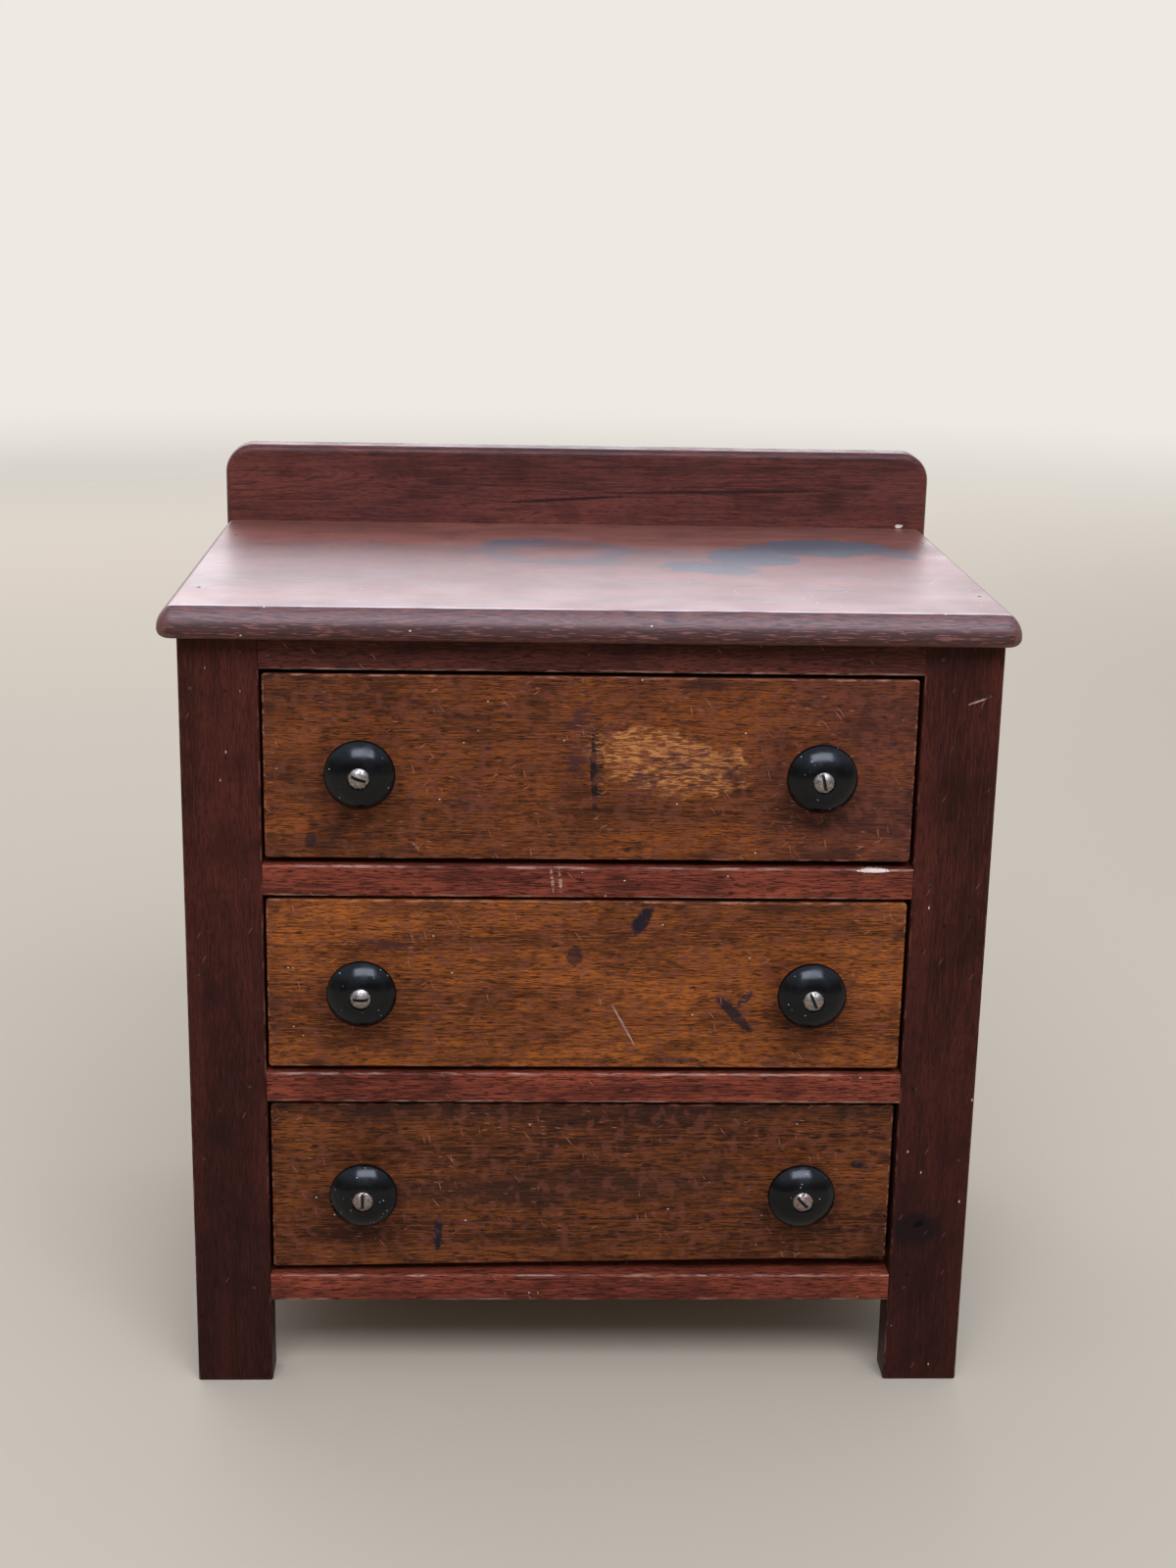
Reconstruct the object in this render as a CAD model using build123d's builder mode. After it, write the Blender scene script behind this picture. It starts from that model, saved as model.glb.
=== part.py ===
"""Miniature chest of drawers.

A pinned front frame and a panelled rear frame are joined by two side panels. Three dovetailed
drawers run between them on runners and guides, under a moulded top with a gallery behind it.
Millimetres. +Z is up, the drawers open towards -Y, and the origin is on the floor under the middle.
"""

from build123d import *
import os

os.makedirs("parts", exist_ok=True)

# ---------------------------------------------------------------- driving dimensions
case_width = 300.0
case_depth = 204.0  # front face of the stiles to the back of the rear frame
stile_width = 29.0
frame_thickness = 14.0  # stiles and rails, front and rear
foot_height = 35.0  # floor to the bottom rail

bottom_rail_height = 11.0
drawer_rail_height = 12.0
top_rail_height = 12.3
rear_rail_height = 20.0
lower_opening = 72.8
middle_opening = 70.5
upper_opening = 73.9

side_thickness = 9.0
panel_thickness = 4.0  # back panel
panel_groove_depth = 5.0
panel_play = 0.3

top_thickness = 11.8
top_side_overhang = 5.6
top_front_overhang = 9.2
top_set_over = 0.9  # the top sits this much to the left of the case
top_corner_radius = 6.0
moulding_run = 4.9  # width of the convex slope round the top
moulding_drop = 8.6  # its height, above the small nosing

gallery_rise = 33.0  # above the top board
gallery_thickness = 14.0
gallery_end_overhang = 4.2
gallery_corner_radius = 12.0
gallery_round = 3.0

tenon_length = 10.0
tenon_thickness = 5.0
tenon_shoulder = 1.8
mortise_relief = 0.5  # empty depth behind a tenon

runner_thickness = 9.0
runner_ledge = 12.0  # how far a runner reaches in under the drawer side
runner_housing = 2.5  # how deep a runner is let into the side panel
runner_tongue = 4.0
tongue_inset = 1.5
guide_height = 10.0
glue_block_leg = 10.0
glue_block_length = 28.0
glue_block_spread = 120.0  # between the middles of a pair

drawer_front_thickness = 12.0
front_corner_radius = 1.4  # worn corners of a drawer front, seen from the front
drawer_side_thickness = 7.0
drawer_back_thickness = 7.0
drawer_bottom_thickness = 3.2
drawer_groove_depth = 3.0
drawer_groove_height = 8.5  # under edge of a drawer side to its groove
drawer_housing = 2.5
drawer_tail_end = 6.0  # side left beyond the drawer back
drawer_side_step = 1.5  # drawer side below the top of its front
drawer_back_step = 3.0  # drawer back below the top of the side
lap = 4.0  # front wood that hides the dovetails
tail_count = 2
tail_flare = 1.6
tail_margin = 3.0

left_gap = 0.9  # drawer front to stile
right_gap = 1.4
runner_clearance = 0.3
stop_clearance = 0.3
groove_clearance = 0.1
least_stop_length = 8.0

knob_radius = 13.0
knob_spacing = 168.0
knob_height = 16.2
knob_foot_radius = 6.8
knob_neck_radius = 5.7
knob_rim_height = 10.5  # where the knob is widest
knob_rim_below = 1.3  # the rolled rim reaches this far under its widest place
knob_rim_above = 1.4
knob_rim_tuck = 0.6  # how far the rolled rim turns in, above and below
knob_neck_height = 3.6  # where the neck is thinnest
knob_flare_run = 2.5  # from the neck out to where its curve turns
knob_flare_drop = 1.8  # from the rim down to there
knob_dome_share = 0.68  # of the radius, where the dome is measured
knob_dome_fall = 1.5  # dome surface there, below the knob's face
knob_recess_depth = 0.9
knob_recess_radius = 4.2
knob_bore_radius = 2.15

screw_head_radius = 4.0
screw_head_height = 2.2
screw_head_edge = 0.4
screw_shank_radius = 2.0
screw_point = 4.0
screw_cover = 1.5  # front wood left beyond the point
slot_width = 1.2
slot_depth = 1.3

nail_radius = 0.8
nail_point = 1.5
nail_tip_share = 0.25  # of the radius, left at the point
nail_clearance = 0.02
nail_set = 0.3  # how far a nail is punched below the surface
drill_lead = 1.0  # a hole's cut starts this far outside the surface
nail_bite = 16.0  # length in the second piece
top_nail_bite = 12.0
pin_inset = 6.5  # rail pin to the stile's inner edge
stile_nail_heights = (95.0, 170.0, 280.0)
top_nail_depths = (30.0, 150.0)
gallery_nail_places = (-120.0, -40.0, 40.0, 120.0)
bottom_nail_length = 11.0
bottom_nail_radius = 0.7
bottom_nail_spread = 85.0

arris = 0.8  # worn rounding of the show edges
rail_arris = 1.1
inner_arris = 0.4
foot_bevel = 0.6

# Each drawer: recess behind the stiles, gap under the front, gap over it, rise of the
# front's under edge from left to right, and the angles of its two screw slots in degrees.
drawer_sizes = {
    "lower": (3.0, 2.0, 1.8, 4.0, (90.0, -45.0)),
    "middle": (0.6, 2.3, 1.5, 0.0, (0.0, -67.0)),
    "upper": (1.0, 2.5, 1.7, 0.0, (-20.0, -78.0)),
}

# ---------------------------------------------------------------- worked-out places
lower_floor = foot_height + bottom_rail_height
lower_rail_z = lower_floor + lower_opening
middle_floor = lower_rail_z + drawer_rail_height
upper_rail_z = middle_floor + middle_opening
upper_floor = upper_rail_z + drawer_rail_height
top_rail_z = upper_floor + upper_opening
case_height = top_rail_z + top_rail_height
top_surface = case_height + top_thickness

floors = {"lower": lower_floor, "middle": middle_floor, "upper": upper_floor}
ceilings = {"lower": lower_rail_z, "middle": upper_rail_z, "upper": top_rail_z}

screw_seat = knob_height - knob_recess_depth
least_recess = min(size[0] for size in drawer_sizes.values())
deepest_recess = max(size[0] for size in drawer_sizes.values())
front_reach = max(screw_seat + screw_head_height - least_recess, top_front_overhang)

case_x = top_set_over
face_y = -(case_depth - front_reach) / 2
back_y = face_y + case_depth
frame_back_y = face_y + frame_thickness
rear_frame_y = back_y - frame_thickness
half_width = case_width / 2
opening_half = half_width - stile_width
drawer_length = case_depth - frame_thickness - least_stop_length - deepest_recess - stop_clearance

rail_levels = (
    (foot_height, bottom_rail_height),
    (lower_rail_z, drawer_rail_height),
    (upper_rail_z, drawer_rail_height),
    (top_rail_z, top_rail_height),
)
sides = (("left", -1), ("right", 1))
low_corner = (Align.MIN, Align.MIN, Align.MIN)
on_end = (Align.CENTER, Align.CENTER, Align.MIN)


def across(sign, from_middle):
    """X of a place on the left (-1) or right (1), measured from the middle of the case."""
    return case_x + sign * from_middle


def block(x_pair, y_pair, z_pair, mode=Mode.ADD):
    """A square block between three pairs of faces, added to or cut from the open part."""
    x_low, x_high = sorted(x_pair)
    y_low, y_high = sorted(y_pair)
    z_low, z_high = sorted(z_pair)
    with Locations((x_low, y_low, z_low)):
        Box(x_high - x_low, y_high - y_low, z_high - z_low, align=low_corner, mode=mode)


def save(piece, name):
    """Labels a finished piece and writes it."""
    piece.label = name
    export_step(piece, f"parts/{name}.step")


# ---------------------------------------------------------------- nails and pins
# A nail is its head's middle, the way it is driven, and its length.
front_to_back = (0, 1, 0)
back_to_front = (0, -1, 0)
downwards = (0, 0, -1)
upwards = (0, 0, 1)
panel_middle = half_width - side_thickness / 2


def rail_pins(sign):
    """One pin through each tenon of the front frame, on one side."""
    x = across(sign, opening_half + pin_inset)
    length = frame_thickness - nail_point
    return [
        ((x, face_y + nail_set, z + height / 2), front_to_back, length)
        for z, height in rail_levels
    ]


def stile_nails(sign, rear):
    """Nails through a stile into the end of its side panel."""
    start = back_y - nail_set if rear else face_y + nail_set
    way = back_to_front if rear else front_to_back
    length = frame_thickness - nail_set + nail_bite
    x = across(sign, panel_middle)
    return [((x, start, z), way, length) for z in stile_nail_heights]


def top_nails(sign):
    """Nails down through the top into a side panel."""
    x = across(sign, panel_middle)
    length = top_thickness - nail_set + top_nail_bite
    return [((x, face_y + y, top_surface - nail_set), downwards, length) for y in top_nail_depths]


def gallery_nails():
    """Nails through the gallery into the back edge of the top."""
    z = case_height + top_thickness / 2
    length = gallery_thickness - nail_set + nail_bite
    return [((case_x + x, back_y - nail_set, z), back_to_front, length) for x in gallery_nail_places]


def drill(nails, radius=nail_radius):
    """Cuts the nails' holes, and the pit over each head, in the open part."""
    for head, way, length in nails:
        start = Vector(head) - Vector(way) * drill_lead
        with Locations(Plane(origin=start, z_dir=way)):
            Cylinder(
                radius + nail_clearance,
                length + drill_lead,
                align=on_end,
                mode=Mode.SUBTRACT,
            )


def drive(nails, name, radius=nail_radius):
    """Writes a group of identical pointed nails."""
    with BuildPart() as group:
        for head, way, length in nails:
            with Locations(Plane(origin=head, z_dir=way)):
                Cylinder(radius, length - nail_point, align=on_end)
            point = Vector(head) + Vector(way) * (length - nail_point)
            with Locations(Plane(origin=point, z_dir=way)):
                Cone(radius, radius * nail_tip_share, nail_point, align=on_end)
    save(group.part, name)


# ---------------------------------------------------------------- front frame
def stile_blank(sign, y_low, y_show):
    """A stile from floor to top, its two show arrises rounded and its foot bevelled."""
    with BuildPart() as blank:
        edges_x = (across(sign, opening_half), across(sign, half_width))
        block(edges_x, (y_low, y_low + frame_thickness), (0, case_height))
        long_edges = blank.edges().filter_by(Axis.Z).group_by(Axis.Y)
        fillet(long_edges[0 if y_show == y_low else -1], arris)
        chamfer(blank.faces().sort_by(Axis.Z)[0].edges(), foot_bevel)
    return blank.part


def tenon_space(y_low, z_low, height, shoulders, reach):
    """X, Y and Z pairs of a rail's tenons, or of their mortises when reach is longer."""
    middle = y_low + frame_thickness / 2
    half = tenon_thickness / 2
    x_pair = (case_x - opening_half - reach, case_x + opening_half + reach)
    z_pair = (z_low + shoulders[0], z_low + height - shoulders[1])
    return x_pair, (middle - half, middle + half), z_pair


def make_front_stile(side, sign):
    with BuildPart() as stile:
        add(stile_blank(sign, face_y, face_y))
        for z_low, height in rail_levels:
            shoulders = (tenon_shoulder, tenon_shoulder)
            deep = tenon_length + mortise_relief
            block(*tenon_space(face_y, z_low, height, shoulders, deep), mode=Mode.SUBTRACT)
        drill(rail_pins(sign))
        drill(stile_nails(sign, rear=False))
    save(stile.part, f"front_stile_{side}")


def runner_tongue_space(sign, floor, play=0.0):
    """X, Y and Z pairs of the tongue that joins a runner to the back of its rail."""
    x_pair = (
        across(sign, opening_half - tongue_inset + play),
        across(sign, opening_half - runner_ledge + tongue_inset - play),
    )
    middle = floor - runner_thickness / 2
    z_pair = (middle - runner_tongue / 2 - play, middle + runner_tongue / 2 + play)
    return x_pair, (frame_back_y - runner_tongue - play, frame_back_y), z_pair


def make_front_rail(name, z_low, height, carries_runners):
    with BuildPart() as rail:
        x_pair = (case_x - opening_half, case_x + opening_half)
        block(x_pair, (face_y, frame_back_y), (z_low, z_low + height))
        front_edges = rail.edges().filter_by(Axis.X).group_by(Axis.Y)[0].sort_by(Axis.Z)
        fillet(front_edges[-1], rail_arris)
        fillet(front_edges[0], arris)
        shoulders = (tenon_shoulder, tenon_shoulder)
        block(*tenon_space(face_y, z_low, height, shoulders, tenon_length))
        for side, sign in sides:
            drill(rail_pins(sign))
            if carries_runners:
                space = runner_tongue_space(sign, z_low + height, play=groove_clearance)
                block(*space, mode=Mode.SUBTRACT)
    save(rail.part, name)


for side, sign in sides:
    make_front_stile(side, sign)
make_front_rail("bottom_rail", foot_height, bottom_rail_height, carries_runners=True)
make_front_rail("lower_drawer_rail", lower_rail_z, drawer_rail_height, carries_runners=True)
make_front_rail("upper_drawer_rail", upper_rail_z, drawer_rail_height, carries_runners=True)
make_front_rail("top_rail", top_rail_z, top_rail_height, carries_runners=False)


# ---------------------------------------------------------------- rear frame and back panel
rear_bottom_shoulders = (tenon_shoulder, panel_groove_depth + tenon_shoulder)
rear_top_shoulders = (panel_groove_depth + tenon_shoulder, tenon_shoulder)
rear_top_rail_z = case_height - rear_rail_height
panel_low = foot_height + rear_rail_height - panel_groove_depth
panel_high = rear_top_rail_z + panel_groove_depth
panel_y = (
    back_y - frame_thickness / 2 - panel_thickness / 2,
    back_y - frame_thickness / 2 + panel_thickness / 2,
)
panel_x = (case_x - opening_half - panel_groove_depth, case_x + opening_half + panel_groove_depth)


def make_rear_stile(side, sign):
    with BuildPart() as stile:
        add(stile_blank(sign, rear_frame_y, back_y))
        deep = tenon_length + mortise_relief
        for z_low, shoulders in (
            (foot_height, rear_bottom_shoulders),
            (rear_top_rail_z, rear_top_shoulders),
        ):
            space = tenon_space(rear_frame_y, z_low, rear_rail_height, shoulders, deep)
            block(*space, mode=Mode.SUBTRACT)
        block(panel_x, panel_y, (panel_low, panel_high), mode=Mode.SUBTRACT)
        drill(stile_nails(sign, rear=True))
    save(stile.part, f"rear_stile_{side}")


def make_rear_rail(name, z_low, shoulders):
    with BuildPart() as rail:
        x_pair = (case_x - opening_half, case_x + opening_half)
        block(x_pair, (rear_frame_y, back_y), (z_low, z_low + rear_rail_height))
        fillet(rail.edges().filter_by(Axis.X).group_by(Axis.Y)[-1], inner_arris)
        block(*tenon_space(rear_frame_y, z_low, rear_rail_height, shoulders, tenon_length))
        block(x_pair, panel_y, (panel_low, panel_high), mode=Mode.SUBTRACT)
    save(rail.part, name)


for side, sign in sides:
    make_rear_stile(side, sign)
make_rear_rail("rear_bottom_rail", foot_height, rear_bottom_shoulders)
make_rear_rail("rear_top_rail", rear_top_rail_z, rear_top_shoulders)

with BuildPart() as back_panel:
    block(
        (panel_x[0] + panel_play, panel_x[1] - panel_play),
        panel_y,
        (panel_low, panel_high - panel_play),
    )
save(back_panel.part, "back_panel")


# ---------------------------------------------------------------- sides, runners and guides
side_inner = half_width - side_thickness


def make_side_panel(side, sign):
    with BuildPart() as panel:
        x_pair = (across(sign, side_inner), across(sign, half_width))
        block(x_pair, (frame_back_y, rear_frame_y), (foot_height, case_height))
        fillet(panel.edges().filter_by(Axis.Y).group_by(Axis.Z)[0], inner_arris)
        housing_x = (across(sign, side_inner), across(sign, side_inner + runner_housing))
        for floor in floors.values():
            z_pair = (floor - runner_thickness, floor)
            block(housing_x, (frame_back_y, rear_frame_y), z_pair, mode=Mode.SUBTRACT)
        drill(stile_nails(sign, rear=False))
        drill(stile_nails(sign, rear=True))
        drill(top_nails(sign))
    save(panel.part, f"side_panel_{side}")


def make_runner(level, side, sign):
    floor = floors[level]
    with BuildPart() as runner:
        x_pair = (
            across(sign, side_inner + runner_housing),
            across(sign, opening_half - runner_ledge),
        )
        block(x_pair, (frame_back_y, rear_frame_y), (floor - runner_thickness, floor))
        block(*runner_tongue_space(sign, floor))
    save(runner.part, f"{level}_runner_{side}")


def make_guides(side, sign):
    """Three strips that fill the space between a side panel and the drawers' path."""
    with BuildPart() as guides:
        for floor in floors.values():
            x_pair = (across(sign, side_inner), across(sign, opening_half))
            block(x_pair, (frame_back_y, rear_frame_y), (floor, floor + guide_height))
    save(guides.part, f"drawer_guides_{side}")


def make_kicker(side, sign):
    """The strip that keeps the upper drawer from tipping as it is pulled out."""
    with BuildPart() as kicker:
        x_pair = (across(sign, side_inner), across(sign, opening_half - runner_ledge))
        block(x_pair, (frame_back_y, rear_frame_y), (top_rail_z, case_height))
    save(kicker.part, f"kicker_{side}")


for side, sign in sides:
    make_side_panel(side, sign)
    for level in floors:
        make_runner(level, side, sign)
    make_guides(side, sign)
    make_kicker(side, sign)

# Triangular blocks rubbed into the corner between the top and the top rails.
with BuildPart() as glue_blocks:
    for corner_y, into_case in ((frame_back_y, 1), (rear_frame_y, -1)):
        for x in (case_x - glue_block_spread / 2, case_x + glue_block_spread / 2):
            with BuildSketch(Plane.YZ.offset(x - glue_block_length / 2)):
                Polygon(
                    (corner_y, case_height),
                    (corner_y + into_case * glue_block_leg, case_height),
                    (corner_y, case_height - glue_block_leg),
                    align=None,
                )
            extrude(amount=glue_block_length)
save(glue_blocks.part, "glue_blocks")


def stop_start(level):
    """Y where a pushed-in drawer meets its stops."""
    return face_y + drawer_sizes[level][0] + drawer_length + stop_clearance


with BuildPart() as drawer_stops:
    for level, floor in floors.items():
        for side, sign in sides:
            x_pair = (
                across(sign, opening_half - runner_ledge),
                across(sign, opening_half),
            )
            block(x_pair, (stop_start(level), rear_frame_y), (floor, floor + guide_height))
save(drawer_stops.part, "drawer_stops")


# ---------------------------------------------------------------- top and gallery
top_left = -half_width - top_side_overhang
top_right = half_width + top_side_overhang
top_front = face_y - top_front_overhang
gallery_y = back_y - gallery_thickness
nosing = top_thickness - moulding_drop
waste_margin = 2.0

with BuildPart() as top_board:
    with BuildSketch(Plane.XY.offset(case_height)):
        with BuildLine():
            Line((top_left, gallery_y), (top_right, gallery_y))
            FilletPolyline(
                (top_right, gallery_y),
                (top_right, top_front),
                (top_left, top_front),
                (top_left, gallery_y),
                radius=top_corner_radius,
            )
        make_face()
    extrude(amount=top_thickness)
    # The waste outside a convex slope and the small nosing under it, run round three edges.
    with BuildLine() as moulding_path:
        FilletPolyline(
            (top_left, gallery_y, case_height),
            (top_left, top_front, case_height),
            (top_right, top_front, case_height),
            (top_right, gallery_y, case_height),
            radius=top_corner_radius,
        )
    # Seen along +Y: x runs outwards from the left end of the board, y runs upwards.
    section_corner = (top_left, gallery_y, case_height)
    with BuildSketch(Plane(origin=section_corner, x_dir=(-1, 0, 0), z_dir=(0, 1, 0))):
        with BuildLine():
            slope_radius = (moulding_run**2 + moulding_drop**2) / (2 * moulding_run)
            RadiusArc((-moulding_run, top_thickness), (0, nosing), slope_radius)
            RadiusArc((0, nosing), (-nosing, 0), nosing)
            Polyline(
                (-nosing, 0),
                (-nosing, -waste_margin),
                (waste_margin, -waste_margin),
                (waste_margin, top_thickness + waste_margin),
                (-moulding_run, top_thickness + waste_margin),
                (-moulding_run, top_thickness),
            )
        make_face()
    sweep(path=moulding_path.wire(), mode=Mode.SUBTRACT)
    drill(gallery_nails())
    for side, sign in sides:
        drill(top_nails(sign))
save(top_board.part, "top_board")

with BuildPart() as back_gallery:
    gallery_half = half_width + gallery_end_overhang
    with BuildSketch(Plane.XZ.offset(-gallery_y)):
        with BuildLine():
            Line((case_x + gallery_half, case_height), (case_x - gallery_half, case_height))
            FilletPolyline(
                (case_x - gallery_half, case_height),
                (case_x - gallery_half, top_surface + gallery_rise),
                (case_x + gallery_half, top_surface + gallery_rise),
                (case_x + gallery_half, case_height),
                radius=gallery_corner_radius,
            )
        make_face()
    extrude(amount=-gallery_thickness)
    front_outline = back_gallery.faces().sort_by(Axis.Y)[0].edges().sort_by(Axis.Z)[1:]
    fillet(front_outline, gallery_round)
    back_outline = back_gallery.faces().sort_by(Axis.Y)[-1].edges().sort_by(Axis.Z)[1:]
    fillet(back_outline, arris)
    drill(gallery_nails())
save(back_gallery.part, "back_gallery")

drive([nail for side, sign in sides for nail in rail_pins(sign)], "rail_pins")
drive(
    [nail for side, sign in sides for rear in (False, True) for nail in stile_nails(sign, rear)],
    "stile_nails",
)
drive([nail for side, sign in sides for nail in top_nails(sign)], "top_nails")
drive(gallery_nails(), "gallery_nails")


# ---------------------------------------------------------------- drawers
drawer_left = case_x - opening_half + left_gap
drawer_right = case_x + opening_half - right_gap
drawer_middle = (drawer_left + drawer_right) / 2
inside_left = drawer_left + drawer_side_thickness
inside_right = drawer_right - drawer_side_thickness


class DrawerPlaces:
    """The heights and depths that one drawer's pieces share."""

    def __init__(self, level):
        recess, under, over, self.rise, self.slot_angles = drawer_sizes[level]
        self.level = level
        self.front_low = floors[level] + under
        self.front_high = ceilings[level] - over
        self.side_low = floors[level] + runner_clearance
        self.side_high = self.front_high - drawer_side_step
        self.groove = self.side_low + drawer_groove_height
        self.groove_top = self.groove + drawer_bottom_thickness
        self.back_high = self.side_high - drawer_back_step
        self.show_y = face_y + recess
        self.shoulder_y = self.show_y + drawer_front_thickness
        self.end_y = self.show_y + drawer_length
        self.back_y_pair = (
            self.end_y - drawer_tail_end - drawer_back_thickness,
            self.end_y - drawer_tail_end,
        )
        self.knob_z = (self.front_low + self.rise / 2 + self.front_high) / 2
        self.knobs = (
            ("left", drawer_middle - knob_spacing / 2, self.slot_angles[0]),
            ("right", drawer_middle + knob_spacing / 2, self.slot_angles[1]),
        )

    def bottom_nails(self):
        """Nails up through the drawer bottom into the drawer back."""
        y = sum(self.back_y_pair) / 2
        places = (drawer_middle - bottom_nail_spread, drawer_middle, drawer_middle + bottom_nail_spread)
        return [((x, y, self.groove), upwards, bottom_nail_length) for x in places]


def dovetails(places, outer_x, inward, mode):
    """The tails of one drawer side, or the sockets for them, across its thickness."""
    zone_low = places.groove_top + tail_margin
    pitch = (places.side_high - tail_margin - zone_low) / tail_count
    wide = (pitch - tail_margin) / 2
    tip_y = places.show_y + lap
    with BuildSketch(Plane.YZ.offset(outer_x)) as tails:
        for number in range(tail_count):
            middle = zone_low + pitch * (number + 0.5)
            Polygon(
                (tip_y, middle - wide),
                (tip_y, middle + wide),
                (places.shoulder_y, middle + wide - tail_flare),
                (places.shoulder_y, middle - wide + tail_flare),
                align=None,
            )
    extrude(tails.sketch, amount=inward * drawer_side_thickness, mode=mode)


def make_drawer_front(places):
    with BuildPart() as front:
        with BuildSketch(Plane.XZ.offset(-places.show_y)):
            Polygon(
                (drawer_left, places.front_low),
                (drawer_right, places.front_low + places.rise),
                (drawer_right, places.front_high),
                (drawer_left, places.front_high),
                align=None,
            )
        extrude(amount=-drawer_front_thickness)
        fillet(front.edges().filter_by(Axis.Y), front_corner_radius)
        fillet(front.faces().sort_by(Axis.Y)[0].edges(), arris)
        dovetails(places, drawer_left, 1, Mode.SUBTRACT)
        dovetails(places, drawer_right, -1, Mode.SUBTRACT)
        block(
            (inside_left - drawer_groove_depth, inside_right + drawer_groove_depth),
            (places.shoulder_y - drawer_groove_depth, places.shoulder_y),
            (places.groove, places.groove_top + groove_clearance),
            mode=Mode.SUBTRACT,
        )
        for _, x, _ in places.knobs:
            with Locations(Plane(origin=(x, places.show_y, places.knob_z), z_dir=front_to_back)):
                Cylinder(
                    screw_shank_radius + nail_clearance,
                    drawer_front_thickness - screw_cover,
                    align=on_end,
                    mode=Mode.SUBTRACT,
                )
    save(front.part, f"{places.level}_drawer_front")


def make_drawer_side(places, side, outer_x, inward):
    inner_x = outer_x + inward * drawer_side_thickness
    with BuildPart() as panel:
        block(
            (outer_x, inner_x),
            (places.shoulder_y, places.end_y),
            (places.side_low, places.side_high),
        )
        fillet(panel.edges().filter_by(Axis.Y).group_by(Axis.Z)[-1], inner_arris)
        dovetails(places, outer_x, inward, Mode.ADD)
        block(
            (inner_x, inner_x - inward * drawer_groove_depth),
            (places.shoulder_y, places.end_y),
            (places.groove, places.groove_top + groove_clearance),
            mode=Mode.SUBTRACT,
        )
        block(
            (inner_x, inner_x - inward * drawer_housing),
            places.back_y_pair,
            (places.groove_top, places.side_high),
            mode=Mode.SUBTRACT,
        )
    save(panel.part, f"{places.level}_drawer_side_{side}")


def make_drawer_back(places):
    with BuildPart() as back:
        block(
            (inside_left - drawer_housing, inside_right + drawer_housing),
            places.back_y_pair,
            (places.groove_top, places.back_high),
        )
        fillet(back.edges().filter_by(Axis.X).group_by(Axis.Z)[-1], inner_arris)
        drill(places.bottom_nails(), bottom_nail_radius)
    save(back.part, f"{places.level}_drawer_back")


def make_drawer_bottom(places):
    reach = drawer_groove_depth - groove_clearance
    with BuildPart() as bottom:
        block(
            (inside_left - reach, inside_right + reach),
            (places.shoulder_y - reach, places.end_y),
            (places.groove, places.groove_top),
        )
        drill(places.bottom_nails(), bottom_nail_radius)
    save(bottom.part, f"{places.level}_drawer_bottom")


def make_knob(places, side, x):
    """A turned knob: foot, hollow neck, rolled rim and a low dome, sunk for the screw head."""
    rim_low = knob_rim_height - knob_rim_below
    rim_start = (knob_radius - knob_rim_tuck, rim_low)
    rim_end = (knob_radius - knob_rim_tuck, knob_rim_height + knob_rim_above)
    neck = (knob_neck_radius, knob_neck_height)
    flare = (knob_neck_radius + knob_flare_run, rim_low - knob_flare_drop)
    underside = ((flare[0] + rim_start[0]) / 2, rim_low - knob_rim_tuck)
    dome_middle = (knob_radius * knob_dome_share, knob_height - knob_dome_fall)
    dome_end = (knob_recess_radius, knob_height)
    seat_plane = Plane(origin=(x, places.show_y, places.knob_z), x_dir=(1, 0, 0), z_dir=(0, 0, -1))
    with BuildPart() as knob:
        with BuildSketch(seat_plane):
            with BuildLine():
                Line((knob_bore_radius, 0), (knob_foot_radius, 0))
                ThreePointArc((knob_foot_radius, 0), neck, flare)
                ThreePointArc(flare, underside, rim_start)
                ThreePointArc(rim_start, (knob_radius, knob_rim_height), rim_end)
                ThreePointArc(rim_end, dome_middle, dome_end)
                Polyline(
                    dome_end,
                    (knob_recess_radius, screw_seat),
                    (knob_bore_radius, screw_seat),
                    (knob_bore_radius, 0),
                )
            make_face()
        revolve(axis=Axis((x, places.show_y, places.knob_z), (0, -1, 0)))
    save(knob.part, f"{places.level}_knob_{side}")


def make_knob_screws(places):
    """Two round-head slotted screws, each through a knob and into the drawer front."""
    inner_end = -(drawer_front_thickness - screw_cover)
    dome_rise = screw_head_height - screw_head_edge
    dome_radius = (screw_head_radius**2 + dome_rise**2) / (2 * dome_rise)
    with BuildPart() as screws:
        for _, x, slot_angle in places.knobs:
            middle = (x, places.show_y, places.knob_z)
            with BuildSketch(Plane(origin=middle, x_dir=(1, 0, 0), z_dir=(0, 0, -1))):
                with BuildLine():
                    Polyline(
                        (0, screw_seat + screw_head_height),
                        (0, inner_end),
                        (screw_shank_radius, inner_end + screw_point),
                        (screw_shank_radius, screw_seat),
                        (screw_head_radius, screw_seat),
                        (screw_head_radius, screw_seat + screw_head_edge),
                    )
                    RadiusArc(
                        (screw_head_radius, screw_seat + screw_head_edge),
                        (0, screw_seat + screw_head_height),
                        -dome_radius,
                    )
                make_face()
            revolve(axis=Axis(middle, (0, -1, 0)))
            slot_floor = screw_seat + screw_head_height - slot_depth
            floor_middle = (x, places.show_y - slot_floor, places.knob_z)
            with BuildSketch(Plane(origin=floor_middle, x_dir=(1, 0, 0), z_dir=(0, -1, 0))):
                Rectangle(2 * screw_head_radius, slot_width, rotation=slot_angle)
            extrude(amount=slot_depth, mode=Mode.SUBTRACT)
    save(screws.part, f"{places.level}_knob_screws")


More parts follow.
